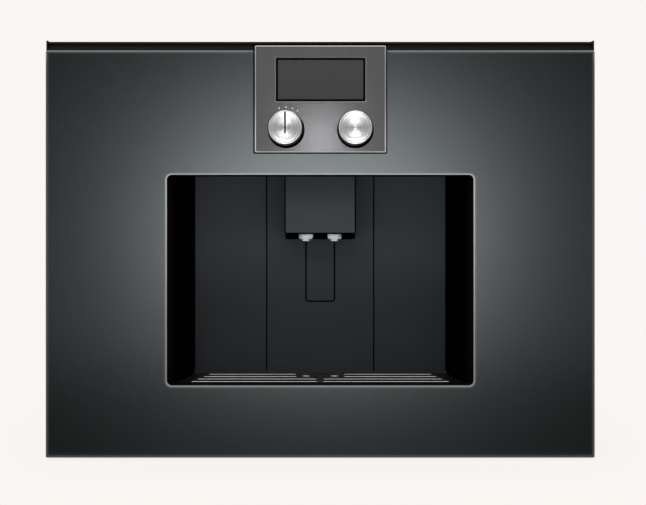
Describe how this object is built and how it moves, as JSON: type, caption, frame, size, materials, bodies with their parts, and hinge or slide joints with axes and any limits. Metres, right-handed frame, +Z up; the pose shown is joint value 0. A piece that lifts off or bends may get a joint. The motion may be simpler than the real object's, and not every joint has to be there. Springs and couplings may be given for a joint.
{
  "type": "built-in coffee machine",
  "caption": "Built-in coffee machine: hinged glass door with control module, cup niche with height-adjustable outlet, drip tray and pull-out containers behind the door.",
  "frame": {"origin": "centre of the underside of the base pan, where the machine stands on the shelf of its niche", "axes": "+Z up, -Y out of the front, +X to the right seen from the front"},
  "size_m": [0.59, 0.4079, 0.4505],
  "materials": {
    "sheet_steel": "zinc-coated sheet and plain steel",
    "anthracite_glass": "satin anthracite, printed behind, with a fine grain",
    "display_glass": "dark grey display window",
    "stainless": "brushed stainless steel",
    "polished_chrome": "polished",
    "black_moulding": "fine matte black",
    "anthracite_moulding": "satin anthracite",
    "grey_moulding": "fine matte grey",
    "clear_moulding": "smoke-tinted clear plastic",
    "cast_aluminium": "as cast",
    "seal_rubber": "matte",
    "circuit_board": "green solder mask"
  },
  "bodies": {
    "housing": {"base_pan": "sheet_steel", "left_side_panel": "sheet_steel", "right_side_panel": "sheet_steel", "rear_panel": "sheet_steel", "top_panel": "sheet_steel", "front_frame": "anthracite_moulding", "vent_strip": "black_moulding", "inner_chassis": "grey_moulding", "lower_hinge_arm": "sheet_steel", "upper_hinge_arm": "sheet_steel", "catch_magnet": "black_moulding", "left_tray_runner": "grey_moulding", "right_tray_runner": "grey_moulding", "niche_liner": "black_moulding", "left_niche_panel": "anthracite_moulding", "centre_niche_panel": "anthracite_moulding", "right_niche_panel": "anthracite_moulding", "outlet_rail": "sheet_steel", "grinder_housing": "black_moulding", "grinder_motor": "sheet_steel", "coffee_chute": "anthracite_moulding", "pump": "grey_moulding", "thermoblock": "cast_aluminium", "control_board": "circuit_board", "power_inlet": "black_moulding", "switch_body": "black_moulding"},
    "outlet": {"outlet_carriage": "black_moulding", "outlet_cover": "anthracite_moulding", "left_nozzle": "polished_chrome", "right_nozzle": "polished_chrome"},
    "door": {"door_glass": "anthracite_glass", "door_frame": "black_moulding", "door_cover": "anthracite_moulding", "door_seal": "seal_rubber", "catch_plate": "sheet_steel", "lower_hinge_pin": "sheet_steel", "upper_hinge_pin": "sheet_steel", "module_shell": "stainless", "display_frame": "black_moulding", "display_window": "display_glass", "module_board": "circuit_board"},
    "left_knob": {"left_knob": "stainless", "left_knob_shaft": "sheet_steel"},
    "right_knob": {"right_knob": "stainless", "right_knob_shaft": "sheet_steel"},
    "tray": {"drip_tray": "black_moulding", "tray_front": "anthracite_moulding", "tray_deck": "black_moulding", "grounds_container": "black_moulding"},
    "drip_grid": {"drip_grid": "stainless"},
    "tank": {"water_tank": "clear_moulding", "tank_front": "anthracite_moulding"},
    "bean_drawer": {"bean_container": "clear_moulding", "bean_front": "anthracite_moulding"},
    "brew_unit": {"brew_frame": "black_moulding", "brew_cylinder": "grey_moulding", "brew_piston": "grey_moulding"},
    "brew_lever": {"brew_lever": "grey_moulding"},
    "power_rocker": {"power_rocker": "black_moulding"},
    "grind_dial": {"grind_dial": "black_moulding"}
  },
  "joints": [
    {"name": "door_hinge", "type": "hinge", "parent": "housing", "child": "door", "pos_m": [-0.283, -0.1885, 0.22], "axis": [0, 0, -1], "range_deg": [0, 110]},
    {"name": "left_knob_turn", "type": "hinge", "parent": "door", "child": "left_knob", "pos_m": [-0.0368, -0.2079, 0.3549], "axis": [0, 1, 0], "range_deg": [-19, 35]},
    {"name": "right_knob_turn", "type": "hinge", "parent": "door", "child": "right_knob", "pos_m": [0.0368, -0.2079, 0.3549], "axis": [0, 1, 0], "continuous": true},
    {"name": "outlet_height", "type": "slide", "parent": "housing", "child": "outlet", "axis": [0, 0, -1], "range_m": [0, 0.08]},
    {"name": "tray_slide", "type": "slide", "parent": "housing", "child": "tray", "axis": [0, -1, 0], "range_m": [0, 0.188]},
    {"name": "grid_lift", "type": "slide", "parent": "tray", "child": "drip_grid", "axis": [0, 0, 1], "range_m": [0, 0.05]},
    {"name": "tank_slide", "type": "slide", "parent": "housing", "child": "tank", "axis": [0, -1, 0], "range_m": [0, 0.165]},
    {"name": "bean_slide", "type": "slide", "parent": "housing", "child": "bean_drawer", "axis": [0, -1, 0], "range_m": [0, 0.145]},
    {"name": "brew_slide", "type": "slide", "parent": "housing", "child": "brew_unit", "axis": [0, -1, 0], "range_m": [0, 0.18]},
    {"name": "brew_lever_turn", "type": "hinge", "parent": "brew_unit", "child": "brew_lever", "pos_m": [0.2141, -0.1737, 0.21], "axis": [0, 1, 0], "range_deg": [0, 90]},
    {"name": "power_switch", "type": "hinge", "parent": "housing", "child": "power_rocker", "pos_m": [0.224, -0.174, 0.3462], "axis": [-1, 0, 0], "range_deg": [0, 14]},
    {"name": "grind_setting", "type": "hinge", "parent": "housing", "child": "grind_dial", "pos_m": [0.224, -0.1777, 0.3962], "axis": [0, 1, 0], "range_deg": [-135, 135]}
  ],
  "couplings": [
    {"joint": "tray_slide", "follows": "door_hinge", "m_per_rad": 0.0978},
    {"joint": "tank_slide", "follows": "door_hinge", "m_per_rad": 0.0858},
    {"joint": "bean_slide", "follows": "door_hinge", "m_per_rad": 0.0754},
    {"joint": "brew_slide", "follows": "door_hinge", "m_per_rad": 0.0936}
  ]
}
